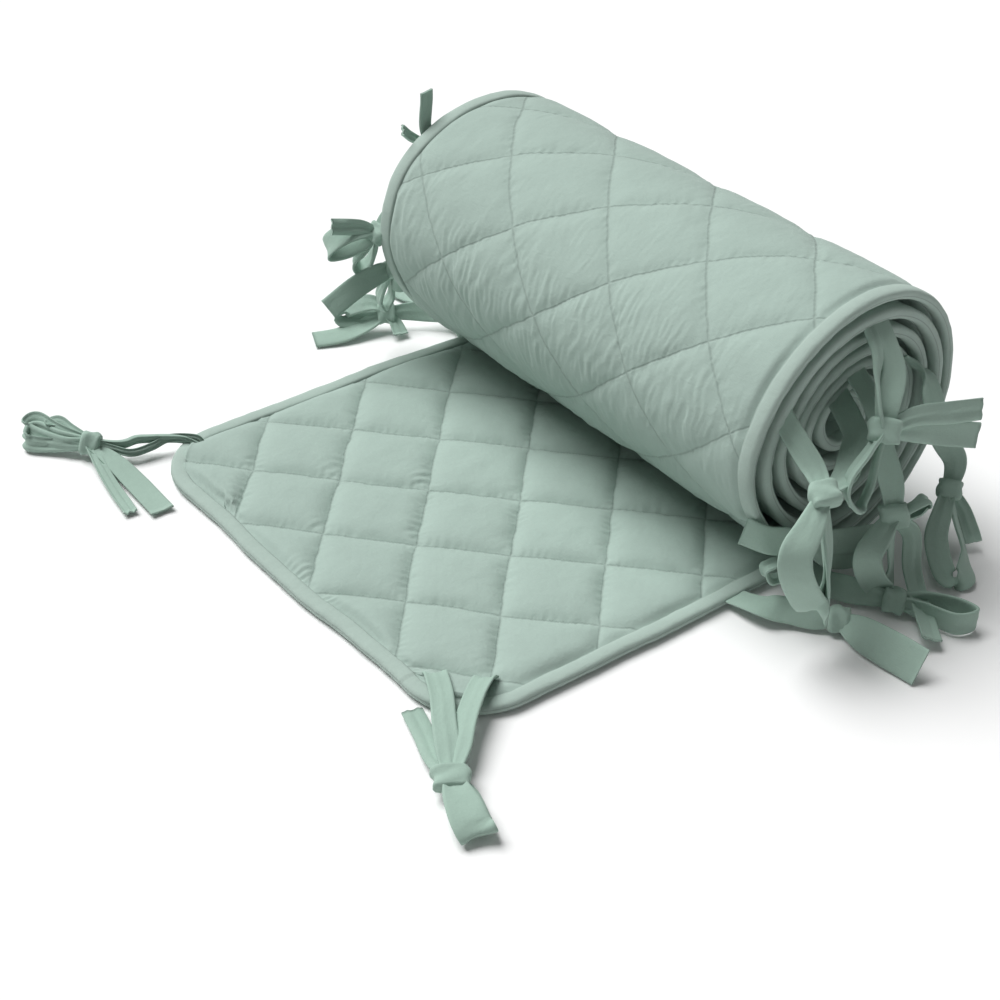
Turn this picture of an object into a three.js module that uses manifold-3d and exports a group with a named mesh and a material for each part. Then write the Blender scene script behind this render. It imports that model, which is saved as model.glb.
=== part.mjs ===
// A quilted crib bumper, rolled up from one end with the other end left lying open.
// It is one long padded panel, a bound edge all round it, and bows of cloth tie along both long edges.
import * as THREE from 'three';
import { mergeVertices } from 'three/addons/utils/BufferGeometryUtils.js';
import Module from 'manifold-3d';

// The panel: lengths in millimetres
const HALF_WIDTH = 150;      // half of the width across, bound edge included
const CORNER_RADIUS = 38;    // rounded corners at both ends
const HALF_LOFT = 3.8;       // half of the padding's thickness inside the roll
const SEAM_LOFT = 1.8;       // half thickness left along a quilted seam
const CROWN_LOFT = 4.6;      // half thickness at the middle of a diamond on the roll
const OPEN_CROWN = 5.5;      // rise of a diamond above the panel's middle on the open end
const DIAMOND = 73.9;        // from corner to corner of a quilted diamond
const SEAM_CROSS_X = -31;    // a crossing of two seams on the open end
const SEAM_CROSS_Y = -15;
const ROLL_SEAM_START = 8.9; // where the diamonds stand on the outside of the roll
const ROLL_SEAM_RADIUS = 82; // radius at which the outside's diamonds are measured

// The roll
const FLOOR_LIFT = 4;        // height of the panel's middle above the surface it lies on
const OPEN_END = 253;        // length lying open, from its bound edge to where the roll leaves the surface
const ROLL_RADIUS = 79;      // middle of the panel at the start of the outer turn
const TURN_PITCH = 10.6;     // from one turn to the next
const TURNS = 6.6;
const DRIFT_X = 1.3;         // each turn inward sits this much towards the roll's far side
const DRIFT_Z = 0.9;         // and this much lower
const FLAT_ANGLE = 0.13;     // radians past the lowest point over which the roll lies flat
const EASE = 0.5;            // radians over which the first turn starts to close in
const RECESS = 14;           // how far the innermost turn stands back from the near end
const SWAY = 7;              // sideways lean of the open end
const FAR_FLARE = 11;        // the outer turn stands out this much at its far edge
const WAIST_ANGLE = 305;     // the roll is pressed in a little above the open end (degrees)
const WAIST_REACH = 50;
const WAIST_DEPTH = 0.06;
const PANEL_CUT = 233;       // under the roll the open end runs on into it: its solid stops here and the roll's starts

// The bound edge
const BINDING_WIDTH = 9;
const BINDING_HALF = 3.7;
const GAP = 0.35;

// The ties
const TIE_WIDTH = 15;
const TIE_THICK = 1.6;
const KNOT = 8.4;             // half size of a bow's knot
const KNOT_REACH = 3;         // the strips of a bow end this far from the knot's middle
const GATHERED = 7;           // width of a strip where the knot gathers it
const SEWN_GAP = 0.6;

const RAD = Math.PI / 180;
const TAU = 2 * Math.PI;
const END_ANGLE = TURNS * TAU;
const STEP = DIAMOND / 6;
const smooth = (t) => { const k = Math.min(1, Math.max(0, t)); return k * k * (3 - 2 * k); };

// Middle line of the panel in the roll, seen along the roll's axis. Angle 0 is the lowest point.
function spiralPoint(angle) {
  const turned = (angle - EASE * (1 - Math.exp(-angle / EASE))) / TAU;
  const away = Math.abs((((angle / RAD - WAIST_ANGLE + 540) % 360) + 360) % 360 - 180);
  const waist = away < WAIST_REACH ? WAIST_DEPTH * Math.cos((Math.PI / 2) * (away / WAIST_REACH)) ** 2 : 0;
  const radius = (ROLL_RADIUS - TURN_PITCH * turned) * (1 - waist);
  return new THREE.Vector2(
    DRIFT_X * turned + radius * Math.sin(angle),
    FLOOR_LIFT + ROLL_RADIUS - DRIFT_Z * turned - radius * Math.cos(angle),
  );
}

// Length along the roll at every degree, for going between length and angle
const DEGREES = Math.round(END_ANGLE / RAD);
const lengths = [0];
for (let k = 1; k <= DEGREES; k++) {
  lengths.push(lengths[k - 1] + spiralPoint(k * RAD).distanceTo(spiralPoint((k - 1) * RAD)));
}
const LENGTH = OPEN_END + lengths[DEGREES];
const lengthAt = (angle) => {
  const k = Math.min(DEGREES - 1, Math.floor(angle / RAD));
  return OPEN_END + THREE.MathUtils.lerp(lengths[k], lengths[k + 1], angle / RAD - k);
};
const angleAt = (s) => {
  const past = lengths.findIndex((length) => length >= s - OPEN_END);
  const k = past < 0 ? DEGREES : Math.max(1, past);
  return (k - 1 + (s - OPEN_END - lengths[k - 1]) / (lengths[k] - lengths[k - 1])) * RAD;
};

// One station of the panel: its middle, the way along it, the outward face and its sideways shift
function station(s) {
  const rolled = s > OPEN_END;
  const angle = rolled ? angleAt(s) : 0;
  const middle = rolled ? spiralPoint(angle) : new THREE.Vector2(s - OPEN_END, FLOOR_LIFT);
  const along = rolled
    ? spiralPoint(angle + 0.01).sub(spiralPoint(Math.max(0, angle - 0.01))).normalize()
    : new THREE.Vector2(1, 0);
  const shift = rolled
    ? RECESS * smooth((angle - Math.PI) / (END_ANGLE - Math.PI))
    : SWAY * smooth(1 - (s - 30) / (OPEN_END - 90));
  const reach = rolled ? FAR_FLARE * smooth(angle / 0.9) * (1 - smooth((angle - TAU) / TAU)) : 0;
  return { s, angle, middle, along, out: new THREE.Vector2(along.y, -along.x), shift, reach };
}

// Half width at a length, inside an outline drawn in by `inset` from the bound edge
function halfWidth(s, inset) {
  const toArc = CORNER_RADIUS - Math.min(s, LENGTH - s);
  if (toArc <= 0) return HALF_WIDTH - inset;
  const radius = CORNER_RADIUS - inset;
  return HALF_WIDTH - CORNER_RADIUS + Math.sqrt(Math.max(0, radius * radius - toArc * toArc));
}

const place = (at, w, rise) => new THREE.Vector3(
  at.middle.x + at.out.x * rise, w + at.shift + at.reach * Math.max(0, w / HALF_WIDTH), at.middle.y + at.out.y * rise,
);

// Distances from the two families of seams, which cross at right angles and slope both ways over the panel
const seamGap = (t) => Math.abs(t - Math.round(t));
function seams(x, w) {
  const a = (x - SEAM_CROSS_X) / DIAMOND;
  const b = (w - SEAM_CROSS_Y) / DIAMOND;
  return [seamGap(a + b) * 2, seamGap(a - b) * 2];
}
const crown = (x, w) => seams(x, w).reduce((rise, gap) => rise * (1 - (1 - gap) ** 2), 1);

function solidMesh(name, positions, triangles, material) {
  const geometry = new THREE.BufferGeometry();
  geometry.setAttribute('position', new THREE.Float32BufferAttribute(positions, 3));
  geometry.setIndex(triangles);
  geometry.computeVertexNormals();
  const mesh = new THREE.Mesh(geometry, material);
  mesh.name = name;
  return mesh;
}

// The padded panel: rows across the panel, each with a profile for its inner and its outer face
const INSET = BINDING_WIDTH + 0.5;
function panelRows() {
  const rows = [];
  const add = (s, kind) => {
    if (!rows.length || s - rows[rows.length - 1].s > 3.5) rows.push({ ...station(s), kind });
  };
  add(INSET, 'open');
  for (let k = -30; k < 4; k++) {
    const x = SEAM_CROSS_X + k * STEP;
    if (x + OPEN_END > INSET && x < -3) add(x + OPEN_END, x < -34 ? 'open' : 'plain');
  }
  add(lengthAt(FLAT_ANGLE), 'plain');
  for (let k = 1; k < 60; k++) {
    const angle = (SEAM_CROSS_X + k * STEP - ROLL_SEAM_START) / ROLL_SEAM_RADIUS;
    if (angle > FLAT_ANGLE && angle < TAU) add(lengthAt(angle), angle > 0.3 && angle < 5.8 ? 'outside' : 'plain');
  }
  for (let turn = 384; turn < DEGREES; turn += 24) {
    if (lengthAt(turn * RAD) < LENGTH - INSET - 4) add(lengthAt(turn * RAD), 'plain');
  }
  add(LENGTH - INSET, 'plain');
  return rows;
}

function profile(row, face) {
  const half = halfWidth(row.s, LENGTH - row.s < CORNER_RADIUS ? INSET + 1.5 : INSET);
  const open = row.kind === 'open' && face === 'inner';
  const outside = row.kind === 'outside' && face === 'outer';
  const flat = row.angle < FLAT_ANGLE + 1e-3 && face === 'outer';
  const edge = flat ? row.middle.y / -row.out.y : open ? SEAM_LOFT + 0.4 : outside ? 2.6 : HALF_LOFT;
  const points = [{ w: -half, rise: edge }];
  if (open || outside) {
    const x = open ? row.s - OPEN_END : ROLL_SEAM_START + ROLL_SEAM_RADIUS * row.angle;
    const top = open ? OPEN_CROWN : CROWN_LOFT;
    for (let k = -14; k < 16; k++) {
      const w = SEAM_CROSS_Y + k * STEP;
      const inside = half - Math.abs(w);
      if (inside < 4) continue;
      const full = smooth(inside / 16) * smooth(open ? (row.s - INSET) / 16 : 1);
      points.push({ w, rise: SEAM_LOFT + (top - SEAM_LOFT) * crown(x, w) * full });
    }
  }
  points.push({ w: half, rise: edge });
  return points.map((point) => ({ ...point, x: row.kind === 'outside'
    ? ROLL_SEAM_START + ROLL_SEAM_RADIUS * row.angle : row.s - OPEN_END }));
}

// Fills the strip between two rows of points, cutting each square along the seam that is nearest to it
function fillStrip(triangles, from, to, flip) {
  const put = (a, b, c) => triangles.push(...(flip ? [a.id, c.id, b.id] : [a.id, b.id, c.id]));
  let i = 0;
  let j = 0;
  while (i < from.length - 1 || j < to.length - 1) {
    let stepFrom = j === to.length - 1 || (i < from.length - 1 && from[i + 1].w < to[j + 1].w - 1e-6);
    if (!stepFrom && i < from.length - 1 && Math.abs(from[i + 1].w - to[j + 1].w) < 1e-6) {
      const [rising, falling] = seams((from[i].x + to[j].x) / 2, (from[i].w + from[i + 1].w) / 2);
      stepFrom = rising < falling;
    }
    if (stepFrom) { put(from[i], from[i + 1], to[j]); i++; } else { put(from[i], to[j + 1], to[j]); j++; }
  }
}

function quiltPanel(name, panel, material) {
  const positions = [];
  const triangles = [];
  const lay = (row, face) => profile(row, face).map((point) => {
    positions.push(...place(row, point.w, face === 'outer' ? point.rise : -point.rise).toArray());
    return { ...point, id: positions.length / 3 - 1 };
  });
  const rows = panel.map((row) => ({ inner: lay(row, 'inner'), outer: lay(row, 'outer') }));
  const last = (points) => points[points.length - 1];
  for (let k = 0; k < rows.length - 1; k++) {
    const [a, b] = [rows[k], rows[k + 1]];
    fillStrip(triangles, a.inner, b.inner, true);
    fillStrip(triangles, a.outer, b.outer, false);
    triangles.push(last(a.inner).id, last(b.inner).id, last(b.outer).id);
    triangles.push(last(a.inner).id, last(b.outer).id, last(a.outer).id);
    triangles.push(a.inner[0].id, b.outer[0].id, b.inner[0].id);
    triangles.push(a.inner[0].id, a.outer[0].id, b.outer[0].id);
  }
  fillStrip(triangles, rows[0].inner, rows[0].outer, false);
  fillStrip(triangles, last(rows).inner, last(rows).outer, true);
  return solidMesh(name, positions, triangles, material);
}

// The one panel is two solids, the open end and the roll, which meet across its width under the roll
const panel = panelRows();
const cutRow = (s) => ({ ...station(s), kind: 'plain' });
const openEnd = [...panel.filter((row) => row.s < PANEL_CUT - 4), cutRow(PANEL_CUT - GAP / 2)];
const rolledUp = [cutRow(PANEL_CUT + GAP / 2), ...panel.filter((row) => row.s > PANEL_CUT + 4)];

// The bound edge: a rounded section carried once round the panel's outline
const SECTION = [[-4.5, -2.8], [1.5, -BINDING_HALF], [4.5, 0], [1.5, BINDING_HALF], [-4.5, 2.8]];
function edgePath() {
  const inset = BINDING_WIDTH / 2;
  const arc = CORNER_RADIUS - inset;
  const side = HALF_WIDTH - inset;
  const turn = [0, 18, 36, 54, 72, 90].map((degrees) => degrees * RAD);
  const long = [];
  for (let s = CORNER_RADIUS + 35; s < OPEN_END - 8; s += 35) long.push(s);
  for (let angle = 0; angle < 360; angle += 12) long.push(lengthAt(angle * RAD));
  for (let angle = 360; angle < DEGREES; angle += 24) {
    if (lengthAt(angle * RAD) < LENGTH - CORNER_RADIUS - 3) long.push(lengthAt(angle * RAD));
  }
  const path = [];
  const corner = (end, sign, angles) => angles.forEach((angle) => path.push({
    s: end === 0 ? CORNER_RADIUS - arc * Math.cos(angle) : LENGTH - CORNER_RADIUS + arc * Math.cos(angle),
    w: sign * (side - arc + arc * Math.sin(angle)),
    ahead: (end === 0 ? -1 : 1) * Math.cos(angle),
    across: sign * Math.sin(angle),
  }));
  const straight = (list, sign) => list.forEach((s) => path.push({ s, w: sign * side, ahead: 0, across: sign }));
  corner(0, -1, turn);
  straight(long, -1);
  corner(1, -1, [...turn].reverse());
  corner(1, 1, turn);
  straight([...long].reverse(), 1);
  corner(0, 1, [...turn].reverse());
  return path;
}

function boundEdge(material) {
  const positions = [];
  const triangles = [];
  const path = edgePath();
  for (const point of path) {
    for (const [out, rise] of SECTION) {
      positions.push(...place(station(point.s + point.ahead * out), point.w + point.across * out, rise).toArray());
    }
  }
  const sides = SECTION.length;
  for (let k = 0; k < path.length; k++) {
    const next = (k + 1) % path.length;
    for (let m = 0; m < sides; m++) {
      const n = (m + 1) % sides;
      const [a, b, c, d] = [k * sides + m, k * sides + n, next * sides + n, next * sides + m];
      triangles.push(a, b, c, a, c, d);
    }
  }
  return solidMesh('binding', positions, triangles, material);
}

// Cloth ties. `turn` is where the tie is sewn in, in degrees round the roll, or `at` the length from the open end
// for those on the flat; a second root is the tie's other half. `loops` are tip and opening, `tails` tip and width way.
const UP = [0, 0, 1];
const SIDE = [0.77, -0.64, 0];
const TIES = [
  { name: 'tie_near_1', edge: -1, top: [[-231, -100], [-215, -117]], knot: [-267, -158, 8],
    loops: [[[-281, -198, 6.5], [0, 0, 4.4]]], tails: [[[-259, -116, 4], [0.8, 0.6, 0]]], stemWay: [0.7, -0.7, 0] },
  { name: 'tie_near_2', edge: -1, at: [186], knot: [-42, -193, 8.5],
    loops: [], tails: [[[-34, -241, 8], [0.55, 0, 0.8]]], stemWay: [0.6, 0.8, 0] },
  { name: 'tie_near_3', edge: -1, at: [236], knot: [-2, -197, 8.5],
    loops: [[[20, -237, 8.6], [6, 3, 0]]], tails: [], stemWay: [0.8, 0.6, 0] },
  { name: 'tie_near_4', edge: -1, turn: [296], knot: [-45, -166, 40],
    loops: [[[-64, -163, 33], [1, 0, 4]]], tails: [[[8, -165, 30], UP], [[3, -168, 20], UP]], stemWay: UP },
  { name: 'tie_near_5', edge: -1, turn: [540], knot: [-10, -178, 105],
    loops: [[[-26, -184, 78], [4, 0, 2]]], tails: [[[53, -188, 98], UP], [[55, -190, 80], UP]], stemWay: SIDE },
  { name: 'tie_near_6', edge: -1, turn: [600, 2005], knot: [-60, -188, 88],
    loops: [[[-75, -197, 40], [-12, 0, 1]]], tails: [[[-60, -200, 24], SIDE]], stemWay: SIDE },
  { name: 'tie_near_7', edge: -1, turn: [1208], knot: [54, -178, 38],
    loops: [[[34, -203, 8], [-9, 4, 6]]], tails: [[[66, -192, 9], SIDE]], stemWay: SIDE },
  { name: 'tie_near_8', edge: -1, turn: [1620], knot: [5, -186, 50],
    loops: [[[-10, -190, 19], [-12, 0, 4]], [[24, -190, 53], [0, 0, 4]]],
    tails: [[[-9, -236, 9], [0.75, 0.3, -0.55]]], stemWay: SIDE },
  { name: 'tie_far_1', edge: 1, top: [[-212, 152, FLOOR_LIFT + BINDING_HALF + TIE_THICK / 2 + GAP]], knot: [-270, 182, 8.5],
    loops: [[[-288, 224, 8.6], [4, 2, 0]], [[-300, 210, 8.6], [3, 2, 0]]],
    tails: [[[-266, 106, 2.2], [1, 0, 0]], [[-280, 116, 2.2], [1, 0.2, 0]]], stemWay: [0.5, 0.8, 0] },
  { name: 'tie_far_2', edge: 1, at: [214], knot: [-47, 190, 8.5],
    loops: [[[-82, 199, 14], [0, 1, 4]]], tails: [[[-95, 214, 2.5], [0.3, 1, 0]]], stemWay: [0.7, -0.7, 0] },
  { name: 'tie_far_3', edge: 1, at: [240], knot: [-4, 186, 8.5],
    loops: [[[26, 206, 8.6], [-3, 5, 0]]], tails: [[[-14, 228, 2.5], [1, 0, 0]]], stemWay: [0.8, -0.6, 0] },
  { name: 'tie_far_4', edge: 1, turn: [296], knot: [-72, 165, 58],
    loops: [[[-62, 174, 30], [4, 2, 0]]], tails: [[[-106, 173, 46], UP]], stemWay: UP },
  { name: 'tie_far_5', edge: 1, turn: [540], knot: [-26, 168, 132],
    loops: [[[-20, 176, 104], [5, 0, 0]]], tails: [[[-30, 172, 169], [0.7, -0.7, 0]], [[-50, 172, 150], [0.4, -0.9, 0]]],
    stemWay: [0.7, -0.7, 0] },
  { name: 'tie_far_6', edge: 1, turn: [600], knot: [-75, 169, 86],
    loops: [[[-103, 178, 84], [0, 2, 5]]], tails: [[[-102, 171, 102], [0.1, 0.5, 0.8]], [[-82, 180, 64], SIDE]],
    stemWay: UP },
  { name: 'tie_far_7', edge: 1, turn: [1208], knot: [46, 176, 62],
    loops: [[[52, 186, 28], [9, 0, 2]]], tails: [[[66, 182, 40], SIDE]], stemWay: SIDE },
  { name: 'tie_far_8', edge: 1, turn: [1620], knot: [4, 182, 72],
    loops: [[[-14, 188, 44], [-10, 0, 3]]], tails: [[[14, 190, 36], SIDE]], stemWay: SIDE },
];

const wasm = await Module();
wasm.setup();
function toSolid(geometry) {
  geometry.deleteAttribute('normal');
  geometry.deleteAttribute('uv');
  const merged = mergeVertices(geometry, 1e-4);
  return new wasm.Manifold(new wasm.Mesh({
    numProp: 3, vertProperties: new Float32Array(merged.attributes.position.array),
    triVerts: new Uint32Array(merged.index.array),
  }));
}

// A flat strip of tie along a run of points; `ways` gives the direction of its width at each point
function ribbon(points, ways, widths) {
  const positions = [];
  const triangles = [];
  points.forEach((point, k) => {
    const run = points[Math.min(k + 1, points.length - 1)].clone().sub(points[Math.max(k - 1, 0)]).normalize();
    const way = ways[k].clone().addScaledVector(run, -ways[k].dot(run)).normalize();
    const face = run.clone().cross(way);
    for (const [a, b] of [[-1, -1], [1, -1], [1, 1], [-1, 1]]) {
      positions.push(...point.clone().addScaledVector(way, a * widths[k] / 2)
        .addScaledVector(face, b * TIE_THICK / 2).toArray());
    }
    if (k === 0) return;
    for (let m = 0; m < 4; m++) {
      const [a, b] = [(k - 1) * 4 + m, (k - 1) * 4 + (m + 1) % 4];
      triangles.push(a, b, b + 4, a, b + 4, a + 4);
    }
  });
  const end = (points.length - 1) * 4;
  triangles.push(0, 2, 1, 0, 3, 2, end, end + 1, end + 2, end, end + 2, end + 3);
  const geometry = new THREE.BufferGeometry();
  geometry.setAttribute('position', new THREE.Float32BufferAttribute(positions, 3));
  geometry.setIndex(triangles);
  return toSolid(geometry);
}

const vec = (list) => new THREE.Vector3(...list);

// The height of the open end's upper face under a tie lying at (x, y)
function restHeight(x, y) {
  let top = 0;
  for (const [dx, dy] of [[0, 0], [8, 0], [-8, 0], [0, 8], [0, -8], [6, 6], [-6, 6], [6, -6], [-6, -6]]) {
    const at = station(x + dx + OPEN_END);
    const full = smooth((x + dx + OPEN_END - INSET) / 16);
    top = Math.max(top, SEAM_LOFT + (OPEN_CROWN - SEAM_LOFT) * crown(x + dx, y + dy - at.shift) * full);
  }
  return FLOOR_LIFT + top + TIE_THICK / 2 + GAP;
}

function tieRoots(tie) {
  if (tie.top) {
    return tie.top.map(([x, y, z]) => ({
      from: new THREE.Vector3(x, y, z ?? restHeight(x, y)),
      lead: new THREE.Vector3(tie.knot[0] - x, tie.knot[1] - y, 4).setLength(30), way: vec(tie.stemWay),
    }));
  }
  return (tie.turn ? tie.turn.map((degrees) => lengthAt(degrees * RAD)) : tie.at).map((s) => {
    const at = station(s);
    return {
      from: place(at, tie.edge * (HALF_WIDTH + SEWN_GAP), 0),
      lead: new THREE.Vector3(0, tie.edge * (12 + Math.abs(at.shift)), 0),
      way: new THREE.Vector3(at.along.x, 0, at.along.y),
    };
  });
}

function tieBow(tie, material) {
  const knot = vec(tie.knot);
  const ball = new THREE.OctahedronGeometry(KNOT).rotateX(0.5).rotateZ(0.4).translate(...tie.knot);
  let solid = toSolid(ball);
  const join = (points, ways, width, ends) => {
    const widths = points.map(() => width);
    const last = points.length - 1;
    if (ends.includes('first')) {
      points[0].lerp(points[1], KNOT_REACH / points[0].distanceTo(points[1]));
      widths[0] = GATHERED;
    }
    if (ends.includes('last')) {
      points[last].lerp(points[last - 1], KNOT_REACH / points[last].distanceTo(points[last - 1]));
      widths[last] = GATHERED;
    }
    solid = solid.add(ribbon(points, ways, widths));
  };
  for (const { from, lead, way } of tieRoots(tie)) {
    const near = knot.clone().sub(from).multiplyScalar(-0.25).add(knot);
    const curve = new THREE.CubicBezierCurve3(from, from.clone().add(lead), near, knot);
    const last = vec(tie.stemWay);
    if (last.dot(way) < 0) last.negate();
    const points = curve.getPoints(4);
    if (!tie.top) points.splice(1, 0, from.clone().addScaledVector(lead, 0.3));
    const ways = points.map((point, k) => way.clone().lerp(last, smooth((k - 1) / (points.length - 2))));
    join(points, ways, tie.top ? 11 : TIE_WIDTH - 2, ['last']);
  }
  for (const [tipAt, opening] of tie.loops) {
    const tip = vec(tipAt);
    const open = vec(opening);
    const middle = knot.clone().lerp(tip, 0.55);
    const start = open.clone().setLength(2.2);
    const curve = new THREE.CatmullRomCurve3([
      knot.clone().add(start), middle.clone().add(open), tip, middle.clone().sub(open), knot.clone().sub(start),
    ]);
    const across = tip.clone().sub(knot).cross(open);
    const points = curve.getPoints(5);
    join(points, points.map(() => across), TIE_WIDTH - 1, ['first', 'last']);
  }
  for (const [tipAt, way] of tie.tails) {
    const tip = vec(tipAt);
    const middle = knot.clone().lerp(tip, 0.5).add(new THREE.Vector3(0, 0, 3));
    const points = new THREE.QuadraticBezierCurve3(knot, middle, tip).getPoints(3);
    join(points, points.map(() => vec(way)), TIE_WIDTH, ['first']);
  }
  const { vertProperties, triVerts } = solid.getMesh();
  return solidMesh(tie.name, Array.from(vertProperties), Array.from(triVerts), material);
}

const cloth = (color, roughness) => new THREE.MeshStandardMaterial({ color, roughness, metalness: 0 });

const bumper = new THREE.Group();
bumper.add(quiltPanel('quilt_open_end', openEnd, cloth(0xabc4b8, 0.95)));
bumper.add(quiltPanel('quilt_roll', rolledUp, cloth(0xabc4b8, 0.95)));
bumper.add(boundEdge(cloth(0xa5beb2, 0.92)));
for (const tie of TIES) bumper.add(tieBow(tie, cloth(0x8fa89b, 0.92)));

export default bumper;
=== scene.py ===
import bpy
import numpy as np
from mathutils import Matrix


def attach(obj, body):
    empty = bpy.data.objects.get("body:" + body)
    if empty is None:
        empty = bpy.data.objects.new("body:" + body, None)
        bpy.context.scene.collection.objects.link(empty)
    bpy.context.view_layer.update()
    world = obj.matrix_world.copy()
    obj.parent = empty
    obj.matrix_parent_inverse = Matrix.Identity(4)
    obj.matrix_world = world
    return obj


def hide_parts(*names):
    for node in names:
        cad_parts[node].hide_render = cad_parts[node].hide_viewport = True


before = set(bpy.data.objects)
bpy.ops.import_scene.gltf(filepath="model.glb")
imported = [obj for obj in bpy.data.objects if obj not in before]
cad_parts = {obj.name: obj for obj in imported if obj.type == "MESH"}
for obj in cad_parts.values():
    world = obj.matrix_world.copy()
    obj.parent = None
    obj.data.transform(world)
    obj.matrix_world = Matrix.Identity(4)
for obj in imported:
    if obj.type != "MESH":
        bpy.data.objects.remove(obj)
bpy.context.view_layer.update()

# The padded panel: two faces of soft washed cotton with wadding between them, quilted together
# along two crossing families of stitching, so that it puffs up in diamonds. It is rolled up from
# one end, and the last quarter of a metre lies open on the floor. Lengths are in millimetres.
PANEL_HALF = 150.0        # half of the width, bound edge included
CORNER_RADIUS = 46.0      # rounded corners at both ends
OPEN_END = 253.0          # lying open, from its outer edge to the roll's lowest line
FLOOR_LIFT = 4.0          # the panel's middle above the floor
ROLL_RADIUS = 79.0        # middle of the panel at the start of the outer turn
TURN_PITCH = 10.6         # from one turn to the next
END_ANGLE = 6.9 * 2 * np.pi
CLOSING_IN = 0.5          # radians over which the first turn starts to close in
DRIFT_X, DRIFT_Z = 2.6, 0.6          # the roll's middle moves sideways and down by this a turn
# Where the roll is pressed in and swollen, in degrees, how far to each side, and by what share.
WAIST_ANGLE, WAIST_REACH, WAIST_DEPTH = 305.0, 50.0, 0.06
SWELL_ANGLE, SWELL_REACH, SWELL_HEIGHT = 130.0, 85.0, 0.06
INNER_RECESS = 14.0       # the innermost turn stands back from the near end by this
OPEN_SWAY = 7.0           # sideways lean of the open end
EDGE_SPREAD = 0.028       # the open end is pushed a little wider in front of the roll
FAR_FLARE, FAR_BULGE = 11.0, 6.0    # the outer turn stands out at its far edge, most over the open end
BULGE_ANGLE, BULGE_REACH = 235, 75    # where it stands out most, in degrees
NEAR_TUCK, END_TUCK = 3.5, 5.0      # the open end is drawn in at its near edge and at its end
SIDE_WAVE, END_WAVE = 1.5, 2.0      # its outline waves by this along the sides and the end
QUILT_INSET = 7.4         # the quilted faces run this far under the bound edge
SEAM_LOFT, ROLL_SEAM_LOFT = 1.4, 1.9      # half thickness along a quilted line
OPEN_CROWN, ROLL_CROWN, PLAIN_LOFT = 6.6, 4.2, 2.9    # and at the top of a diamond, and where plain
MILLIMETRE = 0.001


def ease(t):
    """Rises from 0 to 1 along a smooth S curve, and stays there."""
    t = np.clip(t, 0, 1)
    return t * t * (3 - 2 * t)


def swell(angle, middle, reach):
    """One at an angle round the roll, given in degrees, falling to zero at a reach to each side."""
    away = np.abs((np.degrees(angle) - middle + 180) % 360 - 180)
    return np.cos(np.pi / 2 * np.minimum(away / reach, 1)) ** 2


def roll_line(angle):
    """Middle of the rolled panel seen along the roll: a radius that shrinks by one pitch a turn,
    about a middle that drifts sideways and down, pressed in a little over the open end and
    swollen a little on the other side."""
    turned = (angle - CLOSING_IN * (1 - np.exp(-angle / CLOSING_IN))) / (2 * np.pi)
    pressed = WAIST_DEPTH * swell(angle, WAIST_ANGLE, WAIST_REACH)
    swollen = SWELL_HEIGHT * swell(angle, SWELL_ANGLE, SWELL_REACH)
    radius = (ROLL_RADIUS - TURN_PITCH * turned) * (1 - pressed + swollen)
    return np.stack([DRIFT_X * turned + radius * np.sin(angle),
                     FLOOR_LIFT + ROLL_RADIUS - DRIFT_Z * turned - radius * np.cos(angle)], axis=-1)


TURN_ANGLES = np.linspace(0, END_ANGLE, 9505)
TURN_LENGTHS = np.concatenate([[0], np.cumsum(np.linalg.norm(
    np.diff(roll_line(TURN_ANGLES), axis=0), axis=1))])
PANEL_LENGTH = OPEN_END + TURN_LENGTHS[-1]


def turn_at(s):
    """Angle round the roll at a length along the panel, zero on the open end."""
    return np.interp(s - OPEN_END, TURN_LENGTHS, TURN_ANGLES)


def sideways(s):
    """Sideways shift of the panel: the inner turns stand back, and the open end leans over."""
    back = INNER_RECESS * ease((turn_at(s) - np.pi) / (END_ANGLE - np.pi))
    return np.where(s > OPEN_END, back, OPEN_SWAY * ease(1 - (s - 30) / (OPEN_END - 90)))


def lay(s, w, rise):
    """Point of the panel at a length, a width and a rise off its middle: the middle line, plus the
    rise square to it on the outer side, with the width along the roll's axis. In metres."""
    angle = turn_at(s)
    rolled = (s > OPEN_END)[..., None]
    end_wave = END_TUCK + END_WAVE * ripple(w / 42 + 7.3, 0 * w, 61)
    flat = np.stack([s - OPEN_END + end_wave * (1 - ease(s / 100)), np.full_like(s, FLOOR_LIFT)],
                    axis=-1)
    middle = np.where(rolled, roll_line(angle), flat)
    along = roll_line(angle + 0.01) - roll_line(np.maximum(angle - 0.01, 0))
    along = np.where(rolled, along, (1.0, 0.0))
    along = along / np.linalg.norm(along, axis=-1, keepdims=True)
    spread = EDGE_SPREAD * np.exp(-((s - 180) / 45) ** 2)
    flare = (FAR_FLARE + FAR_BULGE * swell(angle, BULGE_ANGLE, BULGE_REACH)) * ease(angle / 0.9)
    flare = flare * (1 - ease(angle / (2 * np.pi) - 1))
    tuck = NEAR_TUCK * ease((OPEN_END + 10 - s) / 45)
    side_wave = SIDE_WAVE * ripple(s / 38 + 3.7, np.sign(w) * 5 + 9, 62) * ease((OPEN_END - s) / 60)
    far, near = np.maximum(w / PANEL_HALF, 0), np.maximum(-w / PANEL_HALF, 0)
    y = w + far * (spread * PANEL_HALF + flare) + near * tuck + (far - near) * side_wave + sideways(s)
    return MILLIMETRE * np.stack([middle[..., 0] + along[..., 1] * rise, y,
                                  middle[..., 1] - along[..., 0] * rise], axis=-1)


def half_width(s, inset):
    """Half of the panel's width inside an outline drawn in from its edge: straight sides that turn
    in along a quarter circle at both ends."""
    past = np.maximum(CORNER_RADIUS - np.minimum(s, PANEL_LENGTH - s), 0)
    round_off = np.sqrt(np.maximum((CORNER_RADIUS - inset) ** 2 - past ** 2, 0))
    return PANEL_HALF - CORNER_RADIUS + round_off


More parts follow.
